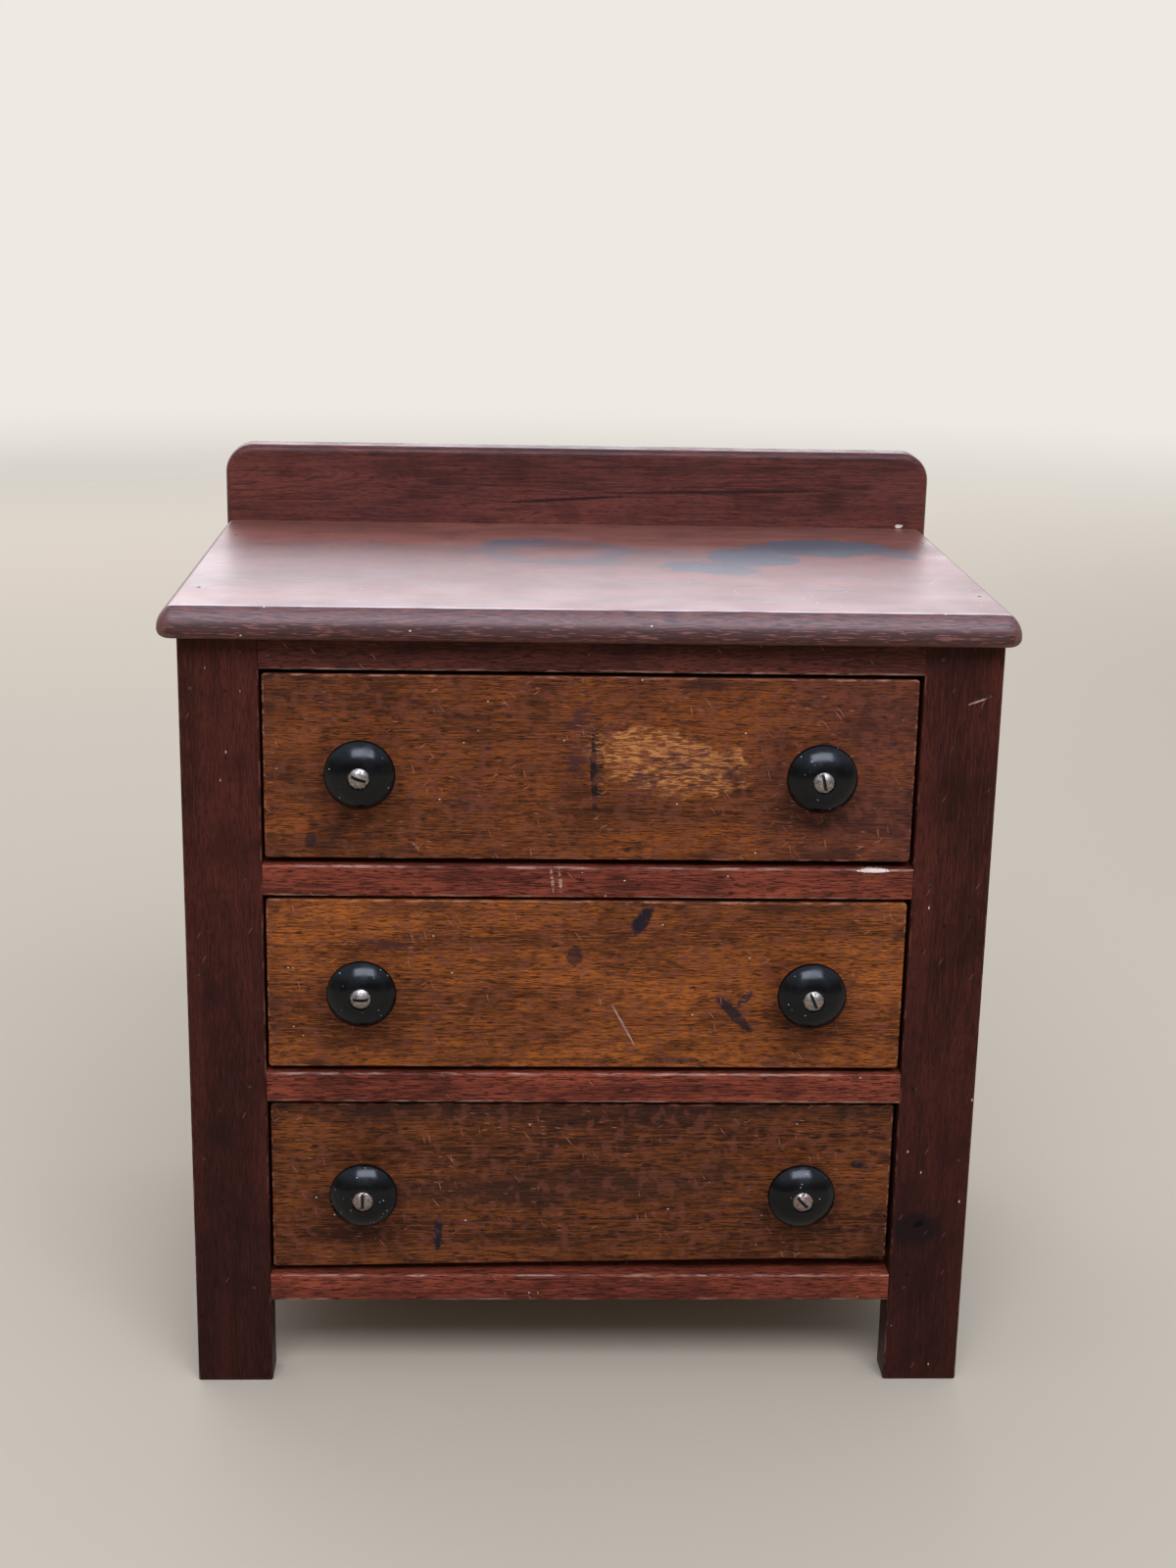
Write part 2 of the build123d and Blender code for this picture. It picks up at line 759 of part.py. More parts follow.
for level in floors:
    places = DrawerPlaces(level)
    make_drawer_front(places)
    make_drawer_side(places, "left", drawer_left, 1)
    make_drawer_side(places, "right", drawer_right, -1)
    make_drawer_back(places)
    make_drawer_bottom(places)
    for side, x, _ in places.knobs:
        make_knob(places, side, x)
    make_knob_screws(places)
    drive(places.bottom_nails(), f"{level}_drawer_bottom_nails", bottom_nail_radius)
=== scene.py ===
import math

import bpy
from mathutils import Matrix, Vector


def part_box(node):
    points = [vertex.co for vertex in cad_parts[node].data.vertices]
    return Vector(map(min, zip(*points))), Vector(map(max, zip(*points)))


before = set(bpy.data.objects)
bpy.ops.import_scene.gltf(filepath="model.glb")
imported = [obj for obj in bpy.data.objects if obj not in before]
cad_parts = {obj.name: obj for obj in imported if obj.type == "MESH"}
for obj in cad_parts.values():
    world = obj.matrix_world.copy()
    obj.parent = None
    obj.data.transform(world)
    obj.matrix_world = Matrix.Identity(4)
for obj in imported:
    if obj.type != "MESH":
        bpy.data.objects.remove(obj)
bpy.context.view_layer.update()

MM = 0.001  # scene units in a millimetre
ALONG_X, ALONG_Y, ALONG_Z = 0, 1, 2
UPPER, MIDDLE, LOWER = "upper", "middle", "lower"
LEVELS = (UPPER, MIDDLE, LOWER)
SIDES = ("left", "right")
ANY = 1000.0  # a reach that takes in the whole piece, mm


# ---------------------------------------------------------------- building materials
def linear(code):
    """The linear colour of an sRGB hex value."""
    parts = [int(code[i:i + 2], 16) / 255 for i in (1, 3, 5)]
    steps = [c / 12.92 if c <= 0.04045 else ((c + 0.055) / 1.055) ** 2.4 for c in parts]
    return (*steps, 1.0)


def add_node(material, kind, inputs, **settings):
    """Adds a shader node with its settings, input values and links. Returns its output."""
    tree = material.node_tree
    node = tree.nodes.new(kind)
    for name, value in settings.items():
        setattr(node, name, value)
    for socket, value in inputs.items():
        if isinstance(value, bpy.types.NodeSocket):
            tree.links.new(value, node.inputs[socket])
        else:
            node.inputs[socket].default_value = value
    return next(output for output in node.outputs if output.enabled)


def new_material(name, seed=0.0):
    """A new material and the place on the piece in mm. seed moves its random patterns."""
    material = bpy.data.materials.new(name)
    material.use_nodes = True
    corner = add_node(material, "ShaderNodeTexCoord", {}).node.outputs["Object"]
    place = add_node(
        material, "ShaderNodeVectorMath", {0: corner, 1: (1 / MM,) * 3}, operation="MULTIPLY")
    shifted = add_node(
        material, "ShaderNodeVectorMath", {0: place, 1: (seed, 1.7 * seed, 2.3 * seed)},
        operation="ADD")
    return material, place, shifted


def shade(material, **finish):
    """Sets the shader: a number straight on its socket, a pattern as a link.

    In a socket's name, _ stands for a space.
    """
    shader = material.node_tree.nodes["Principled BSDF"]
    for name, value in finish.items():
        socket = shader.inputs[name.replace("_", " ")]
        if isinstance(value, bpy.types.NodeSocket):
            material.node_tree.links.new(value, socket)
        else:
            socket.default_value = value


def lay(material, colour, marks):
    """The colour with each mark laid on it in turn. A mark is its colour and where it shows."""
    for tint, where in marks:
        colour = add_node(
            material, "ShaderNodeMix", {0: where, 6: colour, 7: linear(tint)}, data_type="RGBA")
    return colour


# ---------------------------------------------------------------- patterns, each 0 to 1
def grain(material, place, width, length, along, start, end, strength=1.0):
    """Marks about width by length mm, drawn out along one axis. A higher start leaves fewer."""
    size = [width] * 3
    size[along] = length
    stretched = add_node(
        material, "ShaderNodeMapping", {"Vector": place, "Scale": size}, vector_type="TEXTURE")
    noise = add_node(material, "ShaderNodeTexNoise", {"Vector": stretched, "Scale": 1.0})
    return add_node(
        material, "ShaderNodeMapRange",
        {"Value": noise, "From Min": start, "From Max": end, "To Max": strength},
        interpolation_type="SMOOTHSTEP")


def cloud(material, place, size, start, end, strength=1.0):
    """Soft patches about size mm across."""
    return grain(material, place, size, size, ALONG_X, start, end, strength)


ROOM = 2.5  # the space that each stroke has to itself, in its own lengths and widths


def strokes(material, place, length, width, along, share, tilt=0.0, strength=1.0, gather=None):
    """Separate marks length by width mm at random places, such as scratches or flecks.

    share is the share of rooms that hold one. gather is the size in mm of the areas where they lie
    thick, between areas with none.
    """
    size = [ROOM * width] * 3
    size[along] = ROOM * length
    turn = (0.0, 0.0, tilt) if along == ALONG_Y else (0.0, tilt, 0.0)
    stretched = add_node(
        material, "ShaderNodeMapping", {"Vector": place, "Rotation": turn, "Scale": size},
        vector_type="TEXTURE")
    distance = add_node(material, "ShaderNodeTexVoronoi", {"Vector": stretched, "Scale": 1.0})
    chance = add_node(
        material, "ShaderNodeSeparateColor", {0: distance.node.outputs["Color"]})
    if gather:
        strength = cloud(material, place, gather, 0.44, 0.6, strength)
    held = add_node(
        material, "ShaderNodeMapRange",
        {"Value": chance, "From Min": 1 - share, "From Max": 1 - 0.8 * share, "To Max": strength})
    return add_node(
        material, "ShaderNodeMapRange",
        {"Value": distance, "From Min": 0.26, "From Max": 0.14, "To Max": held},
        interpolation_type="SMOOTHSTEP")


FINEST_GRIT = 0.8  # the smallest teeth in a stain's edge, mm


def stain(material, place, middle, reach, slant=0.0, ragged=0.6, soft=0.45, strength=1.0,
          on_top=False, deep=4.0, ring=None, grain_width=None):
    """A stain or worn patch with a ragged edge, on the front or the top of the chest.

    reach is its half width and half height, and deep is how far it goes in, all in mm. With ring,
    only that share of its reach is stained, from the outside in, as a wet pot leaves it. With
    grain_width, in mm, the patch is broken up along the grain.
    """
    size = (*reach, deep) if on_top else (reach[0], deep, reach[1])
    turn = (0.0, 0.0, slant) if on_top else (0.0, slant, 0.0)
    local = add_node(
        material, "ShaderNodeMapping",
        {"Vector": place, "Location": middle, "Rotation": turn, "Scale": size},
        vector_type="TEXTURE")
    distance = add_node(material, "ShaderNodeVectorMath", {0: local}, operation="LENGTH")
    grit = max(min(reach) / 2, FINEST_GRIT)
    noise = add_node(
        material, "ShaderNodeTexNoise", {"Vector": place, "Scale": 1 / grit, "Detail": 3.0})
    warped = add_node(
        material, "ShaderNodeMath", {0: noise, 1: 2 * ragged, 2: distance},
        operation="MULTIPLY_ADD")
    edge = 1 + ragged
    if ring:
        strength = add_node(
            material, "ShaderNodeMapRange",
            {"Value": warped, "From Min": edge - ring - soft, "From Max": edge - ring + soft,
             "To Max": strength})
    if grain_width:
        strength = grain(
            material, place, grain_width, 8 * grain_width, ALONG_X, 0.45, 0.58, strength)
    return add_node(
        material, "ShaderNodeMapRange",
        {"Value": warped, "From Min": edge + soft / 2, "From Max": edge - soft / 2,
         "To Max": strength}, interpolation_type="SMOOTHSTEP")


def insets(material, place, low, high, across):
    """How far in a place is from the sides of a box, mm, on each axis that across picks."""
    middle, half = (low + high) / 2, (high - low) / 2
    local = add_node(
        material, "ShaderNodeVectorMath", {0: place, 1: middle}, operation="SUBTRACT")
    outward = add_node(material, "ShaderNodeVectorMath", {0: local}, operation="ABSOLUTE")
    reach = [h if use else h + ANY for h, use in zip(half, across)]
    depths = add_node(
        material, "ShaderNodeVectorMath", {0: reach, 1: outward}, operation="SUBTRACT")
    return add_node(material, "ShaderNodeSeparateXYZ", {0: depths}).node.outputs


def arris_wear_and_highlight(material, place, node, across, width, along, gap=3.0, strength=1.0):
    """A band within width mm of the edges where two of a node's faces meet, in lengths that come
    and go every few gaps: wear, and on the rails and drawer fronts painted highlight as well.
    across picks the axes whose faces it lies between."""
    x, y, z = insets(material, place, *(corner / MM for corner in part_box(node)), across)
    kept = grain(material, place, gap, 3 * gap, along, 0.45, 0.6, strength)
    kept = grain(material, place, width, 6 * width, along, 0.4, 0.56, kept)
    nearer = add_node(material, "ShaderNodeMath", {0: x, 1: y}, operation="MINIMUM")
    farther = add_node(material, "ShaderNodeMath", {0: x, 1: y}, operation="MAXIMUM")
    second = add_node(material, "ShaderNodeMath", {0: farther, 1: z}, operation="MINIMUM")
    depth = add_node(material, "ShaderNodeMath", {0: nearer, 1: second}, operation="MAXIMUM")
    return add_node(
        material, "ShaderNodeMapRange",
        {"Value": depth, "From Min": width, "From Max": 0.3 * width, "To Max": kept},
        interpolation_type="SMOOTHSTEP")


def bare_back(material, place, node, strength):
    """The last half millimetre at the back of a drawer front, which never had varnish."""
    _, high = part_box(node)
    rightward = add_node(material, "ShaderNodeSeparateXYZ", {0: place})
    _, backward, _ = rightward.node.outputs
    inner_face = high.y / MM
    return add_node(
        material, "ShaderNodeMapRange",
        {"Value": backward, "From Min": inner_face - 0.9, "From Max": inner_face - 0.4,
         "To Max": strength})


# ---------------------------------------------------------------- wood
PORE_WIDTH = 0.3  # mm; real pores are finer, and these are coarser so that they show
PORE_LENGTH = 4.0  # mm
SMOKE_SIZE = 19.0  # patches that years of smoke and hands have darkened, mm


def grain_colour(material, place, along, tones, figure=24.0, line=0.6, lines=0.5, pores=0.85):
    """Wood's own colours, from its deep, light, line and pore tones, and how far it is sunk.

    The eye gets slow changes of tone along the board, figure mm apart, growth lines that follow
    them in curves, and fine dark pores drawn out along the grain.
    """
    deep, light, line_tone, pore_tone = tones
    size = [figure] * 3
    size[along] = 7 * figure
    stretched = add_node(
        material, "ShaderNodeMapping", {"Vector": place, "Scale": size}, vector_type="TEXTURE")
    flow = add_node(
        material, "ShaderNodeTexNoise",
        {"Vector": stretched, "Scale": 1.0, "Detail": 3.0, "Roughness": 0.55, "Distortion": 0.4})
    tone = add_node(
        material, "ShaderNodeMapRange", {"Value": flow, "From Min": 0.33, "From Max": 0.66},
        interpolation_type="SMOOTHSTEP")
    turns = add_node(material, "ShaderNodeMath", {0: flow, 1: 4 * figure}, operation="MULTIPLY")
    wave = add_node(material, "ShaderNodeMath", {0: turns}, operation="SINE")
    rings = add_node(
        material, "ShaderNodeMapRange",
        {"Value": wave, "From Min": 0.45, "From Max": 1.0, "To Max": lines})
    dark_lines = grain(material, place, line, 30 * line, along, 0.5, 0.6, lines)
    pale_lines = grain(material, place, 1.1 * line, 24 * line, along, 0.5, 0.6, 0.6)
    fine_pores = grain(material, place, PORE_WIDTH, PORE_LENGTH, along, 0.53, 0.59, pores)
    smoke = cloud(material, place, SMOKE_SIZE, 0.48, 0.72, 0.45)
    colour = lay(material, linear(deep), [
        (light, tone), (line_tone, rings), (line_tone, dark_lines), (light, pale_lines),
        (pore_tone, fine_pores), (line_tone, smoke)])
    sunk = add_node(
        material, "ShaderNodeMath", {0: fine_pores, 1: 0.5, 2: dark_lines},
        operation="MULTIPLY_ADD")
    return colour, sunk


def wood(name, along, tones, marks=(), seed=0.0, roughness=(0.42, 0.56), specular=0.25,
         pore_depth=0.05, **figure):
    """Wood under an old finish, with the knocks and stains of use laid on it as marks.

    A mark is its colour, its pattern and the pattern's settings. Flecks and grain take the
    shifted place, so that no two pieces match; what sits at a known spot takes the true one.
    """
    material, place, shifted = new_material(name, seed)
    colour, sunk = grain_colour(material, shifted, along, tones, **figure)
    for tint, pattern, settings in marks:
        at = shifted if pattern in (strokes, cloud) else place
        colour = lay(material, colour, [(tint, pattern(material, at, **settings))])
    gloss = cloud(material, shifted, 17.0, 0.3, 0.7)
    rough = add_node(
        material, "ShaderNodeMapRange",
        {"Value": gloss, "To Min": roughness[0], "To Max": roughness[1]})
    raised = add_node(material, "ShaderNodeMath", {0: 1.0, 1: sunk}, operation="SUBTRACT")
    normal = add_node(
        material, "ShaderNodeBump", {"Height": raised, "Distance": pore_depth * MM})
    shade(material, Base_Color=colour, Roughness=rough, Normal=normal, Specular_IOR_Level=specular)
    return material


def cover(node, material):
    """Gives a piece of the frame its finish."""
    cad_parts[node].data.materials[0] = material


def own_seed(node, spread):
    """A seed from a piece's name, so that each piece has grain and knocks of its own."""
    return sum(map(ord, node)) % spread


# ---------------------------------------------------------------- drawer fronts
# Deep, light, line and pore tones, as in all the tones below.
FRONT_TONES = {
    UPPER: ("#48220c", "#7e4016", "#280f06", "#1a0b05"),
    MIDDLE: ("#56290d", "#934e1c", "#2f1407", "#1f0d05"),
    LOWER: ("#3e1c0b", "#743c16", "#230e06", "#170905"),
}
FRONT_SEEDS = {UPPER: 11.0, MIDDLE: 57.0, LOWER: 83.0}
BLOT = "#1c1218"  # ink or burn, nearly black with a purple cast
BRUISE = "#3a1d1f"  # a dull purple brown under the varnish
SCRATCH = "#b0705a"  # dry varnish, whitened where it is scratched
FLECK = "#d8c6b4"  # specks of old paint
CHAR = "#150d0b"  # burnt wood
# The tilt, length in mm and share of each kind of scratch.
SCRATCHES = ((0.1, 2.2, 0.2), (0.9, 4.5, 0.1), (-0.6, 3.0, 0.1), (1.35, 4.0, 0.1))


def on_front(level, across, up):
    """A spot on a drawer's face, given in mm from the lower left corner of its front."""
    low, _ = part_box(f"{level}_drawer_front")
    return low.x / MM + across, low.y / MM, low.z / MM + up


# The finish is rubbed through to golden wood beside a burnt line on the upper front. The middle
# front has dark blots, a pale scratch and a bruise over its left knob. The lower front has a blot
# and a dark band along its middle, and along its upper edge a painted shadow of the rail above.
rubbed = dict(middle=on_front(UPPER, 148, 38), reach=(27, 12), slant=0.14, ragged=0.6, soft=0.3)
front_marks = {
    UPPER: [
        (BRUISE, dict(middle=on_front(UPPER, 228, 30), reach=(40, 60), soft=1.0, strength=0.4)),
        ("#6a3a1c", dict(rubbed, strength=0.5)),
        ("#b0713c", dict(rubbed, grain_width=0.42, strength=0.85)),
        (BRUISE, dict(middle=on_front(UPPER, 139, 30), reach=(5, 9), slant=0.5, ragged=1.2,
                      grain_width=1.0, strength=0.8)),
        (BRUISE, dict(middle=on_front(UPPER, 158, 36), reach=(16, 7), ragged=1.4, grain_width=1.2,
                      strength=0.75)),
        (CHAR, dict(middle=on_front(UPPER, 122, 36), reach=(2.4, 14), slant=-0.05, ragged=0.9,
                    soft=0.3, grain_width=0.45)),
        (CHAR, dict(middle=on_front(UPPER, 121, 33), reach=(1.2, 14), slant=-0.03, ragged=0.7,
                    soft=0.3, strength=0.9)),
        (BRUISE, dict(middle=on_front(UPPER, 116, 46), reach=(5, 15), slant=0.1, ragged=0.9,
                      grain_width=1.6, strength=0.8)),
        (BRUISE, dict(middle=on_front(UPPER, 76, 24), reach=(8, 10), slant=0.5, ragged=1.1,
                      grain_width=1.2, strength=0.5)),
        (BLOT, dict(middle=on_front(UPPER, 17, 7), reach=(2.0, 3.0), ragged=0.5, strength=0.7)),
    ],
    MIDDLE: [
        (BLOT, dict(middle=on_front(MIDDLE, 140, 59), reach=(2.6, 6.5), slant=0.55, ragged=0.4)),
        (BLOT, dict(middle=on_front(MIDDLE, 115, 45), reach=(3.2, 4.0), ragged=0.8, strength=0.7)),
        (BLOT, dict(middle=on_front(MIDDLE, 176, 22), reach=(2.0, 10), slant=-0.75, ragged=0.5,
                    strength=0.9)),
        (BLOT, dict(middle=on_front(MIDDLE, 180, 28), reach=(1.6, 4.0), slant=0.7, ragged=0.4,
                    strength=0.8)),
        ("#a08678", dict(middle=on_front(MIDDLE, 134, 17.5), reach=(0.4, 9.0), slant=-0.5,
                         ragged=0.5, strength=0.7)),
        (BLOT, dict(middle=on_front(MIDDLE, 155, 3), reach=(9, 1.4), ragged=0.7, strength=0.7)),
        (BRUISE, dict(middle=on_front(MIDDLE, 44, 51), reach=(11, 5), ragged=1.2, grain_width=1.4,
                      strength=0.7)),
    ],
    LOWER: [
        (BLOT, dict(middle=on_front(LOWER, 64, 14.5), reach=(1.6, 7.5), slant=0.03, ragged=0.5)),
        (BLOT, dict(middle=on_front(LOWER, 227, 44), reach=(3.0, 1.6), ragged=0.4)),
        ("#2c1710", dict(middle=on_front(LOWER, 105, 34), reach=(75, 7), slant=-0.04, ragged=0.9,
                         soft=0.9, strength=0.6)),
        # painted shadow: this band along the upper edge stands for the shade under the rail above
        ("#24120d", dict(middle=on_front(LOWER, 130, 68), reach=(130, 7), ragged=0.5, soft=0.9,
                         strength=0.6)),
    ],
}


def drawer_front(level):
    """Stained hardwood under brushed old varnish: warm brown, half dull, scratched and handled."""
    node = f"{level}_drawer_front"
    marks = [(tint, stain, where) for tint, where in front_marks[level]]
    for tilt, length, share in SCRATCHES:
        marks.append((SCRATCH, strokes, dict(
            length=length, width=0.3, along=ALONG_X, tilt=tilt, share=share, strength=0.6,
            gather=14.0)))
    marks += [
        ("#6a3826", cloud, dict(size=5.0, start=0.5, end=0.64, strength=0.4)),
        ("#2a130c", strokes, dict(length=1.8, width=0.3, along=ALONG_X, share=0.5, strength=0.7)),
        (BLOT, strokes, dict(length=2.6, width=1.6, along=ALONG_X, share=0.03, strength=0.6)),
        (FLECK, strokes, dict(length=0.7, width=0.5, along=ALONG_X, share=0.004, strength=0.8)),
        ("#24100a", arris_wear_and_highlight, dict(
            node=node, across=(1, 1, 1), width=7.0, along=ALONG_X, gap=9.0, strength=0.6)),
        # partly wear, partly painted highlight: a pale line along the edges of the front
        ("#96604a", arris_wear_and_highlight, dict(
            node=node, across=(1, 1, 1), width=1.1, along=ALONG_X, strength=0.85)),
        ("#a57d56", bare_back, dict(node=node, strength=0.8)),
    ]
    cover(node, wood(
        f"{level} drawer front, stained hardwood, brushed varnish", ALONG_X, FRONT_TONES[level],
        marks, FRONT_SEEDS[level], roughness=(0.42, 0.6), specular=0.14))


for level in LEVELS:
    drawer_front(level)

# ---------------------------------------------------------------- case
STILE_TONES = ("#30150f", "#481f17", "#1e0c08", "#180806")
RAIL_TONES = ("#57251a", "#803c28", "#33150e", "#240e0a")
TOP_RAIL_TONES = ("#3a1a14", "#5a2a20", "#24110d", "#1c0c0a")
GALLERY_TONES = ("#46211b", "#663228", "#2f1612", "#241110")


def stile_or_panel(part, side):
    """Mahogany, dark red stain and old french polish: smooth, with a low sheen and small knocks."""
    node = f"{part}_{side}"
    low, high = (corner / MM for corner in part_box(node))
    middle_x = (low.x + high.x) / 2
    # The feet are darker than the rest.
    marks = [("#160908", stain, dict(
        middle=(middle_x, low.y, low.z), reach=(ANY, 130), ragged=0.3, soft=1.2, deep=ANY,
        strength=0.4))]
    if node == "front_stile_right":  # a knot low down, and a pale scratch near the top
        knot_x, knot_z = middle_x - 5.0, 66.0
        marks += [
            ("#150c0c", stain, dict(middle=(knot_x, low.y, knot_z), reach=(9, 7), ragged=0.5,
                                    soft=0.8, strength=0.85)),
            ("#050404", stain, dict(middle=(knot_x + 1, low.y, knot_z + 2), reach=(2.4, 1.2),
                                    slant=-0.5, ragged=0.4)),
            ("#a88a74", stain, dict(middle=(142, low.y, 278), reach=(3.4, 0.35), slant=-0.35,
                                    ragged=0.8, strength=0.7)),
        ]
    marks += [
        ("#7c4a40", strokes, dict(length=3.0, width=0.3, along=ALONG_Z, tilt=0.5, share=0.02,
                                  strength=0.6)),
        ("#0c0606", strokes, dict(length=1.5, width=1.2, along=ALONG_Z, share=0.02, strength=0.7)),
        (FLECK, strokes, dict(length=1.1, width=0.45, along=ALONG_Z, share=0.005, strength=0.7)),
    ]
    if part != "side_panel":
        marks.append(("#6e4038", arris_wear_and_highlight, dict(
            node=node, across=(1, 1, 0), width=0.9, along=ALONG_Z, strength=0.7)))
    cover(node, wood(
        f"{part} {side}, mahogany, dark stain, french polish", ALONG_Z, STILE_TONES, marks,
        own_seed(node, 97), roughness=(0.4, 0.52), specular=0.09, figure=14.0, lines=0.26,
        line=0.5, pores=0.55))


def rail(node, tones):
    """Mahogany with a red stain. The varnish has gone from its upper arris, where drawers rub;
    the pale lines along its front arrises are partly that wear and partly a painted highlight.
    """
    low, high = (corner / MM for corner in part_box(node))
    middle_z = (low.z + high.z) / 2
    marks = []
    if node == "upper_drawer_rail":  # two pale scratches, and a chip out of its upper arris
        marks = [("#a58a72", stain, dict(
            middle=(x, low.y, middle_z + 1), reach=(0.6, 4.5), slant=-0.12, ragged=0.9,
            grain_width=0.5, strength=0.8)) for x in (-13.0, -10.0)]
        marks.append((FLECK, stain, dict(
            middle=(107, low.y, high.z - 0.6), reach=(6.0, 0.7), ragged=0.7, soft=0.3,
            strength=0.85)))
    marks += [
        (SCRATCH, strokes, dict(length=3.0, width=0.3, along=ALONG_X, tilt=0.9, share=0.03,
                                strength=0.5)),
        (FLECK, strokes, dict(length=0.7, width=0.5, along=ALONG_X, share=0.006, strength=0.7)),
        # partly wear, partly painted highlight: pale lines along the front arrises, where light
        # catches them
        ("#a37a66", arris_wear_and_highlight, dict(node=node, across=(0, 1, 1), width=1.3, along=ALONG_X,
                                     gap=6.0, strength=0.6)),
        ("#cbb5a2", arris_wear_and_highlight, dict(node=node, across=(0, 1, 1), width=0.9, along=ALONG_X,
                                     gap=9.0, strength=0.3)),
    ]
    cover(node, wood(
        f"{node.replace('_', ' ')}, mahogany, red stain", ALONG_X, tones, marks,
        own_seed(node, 89), roughness=(0.42, 0.55), specular=0.1, figure=12.0, lines=0.35,
        line=0.6))


def gallery():
    """Mahogany with a red stain, and two long dark shakes in the grain."""
    low, high = (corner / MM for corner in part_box("back_gallery"))
    shake_z = high.z - 22.0
    marks = [
        ("#160a09", stain, dict(middle=(-5, low.y, shake_z), reach=(26, 0.7), slant=-0.06,
                                ragged=0.5, strength=0.85)),
        ("#160a09", stain, dict(middle=(60, low.y, shake_z + 4), reach=(46, 0.7), slant=-0.02,
                                ragged=0.5, strength=0.7)),
        (FLECK, stain, dict(middle=(143, low.y, high.z - 32), reach=(1.6, 0.8), ragged=0.6,
                            soft=0.3, strength=0.85)),
    ]
    cover("back_gallery", wood(
        "gallery, mahogany, red stain", ALONG_X, GALLERY_TONES, marks, 31.0,
        roughness=(0.36, 0.48), specular=0.2, figure=18.0, lines=0.4, line=0.9, pores=0.55))


for side in SIDES:
    for part in ("front_stile", "rear_stile", "side_panel"):
        stile_or_panel(part, side)
rail("top_rail", TOP_RAIL_TONES)
for node in ("upper_drawer_rail", "lower_drawer_rail", "bottom_rail"):
    rail(node, RAIL_TONES)
gallery()

# ---------------------------------------------------------------- top
WATER = "#4a474b"
MOULDING_RUN = 4.9  # from the board's edge to the arris of its flat, mm
# Across and back from the middle of the top, mm: a long pool at the right, then spills round it,
# and the ring of a pot towards the left.
water_marks = [
    ((50, -10), dict(reach=(21, 12), slant=-0.5)),
    ((68, 14), dict(reach=(17, 20), slant=0.6)),
    ((100, 40), dict(reach=(29, 22), slant=0.15)),
    ((128, 32), dict(reach=(7, 19), slant=0.5, strength=0.8)),
    ((28, 20), dict(reach=(22, 7), ragged=0.9, soft=0.5, strength=0.5)),
    ((90, -56), dict(reach=(12, 3), ragged=0.6, soft=0.3, strength=0.5)),
    ((-12, 25), dict(reach=(32, 32), ragged=0.4, soft=0.25, strength=0.7, ring=0.35)),
    ((-22, 40), dict(reach=(20, 8), ragged=0.6, soft=0.4, strength=0.5)),
    ((-28, 48), dict(reach=(12, 6), ragged=0.6, soft=0.4, strength=0.75)),
    ((8, -4), dict(reach=(18, 5), ragged=0.9, soft=0.5, strength=0.45)),
]


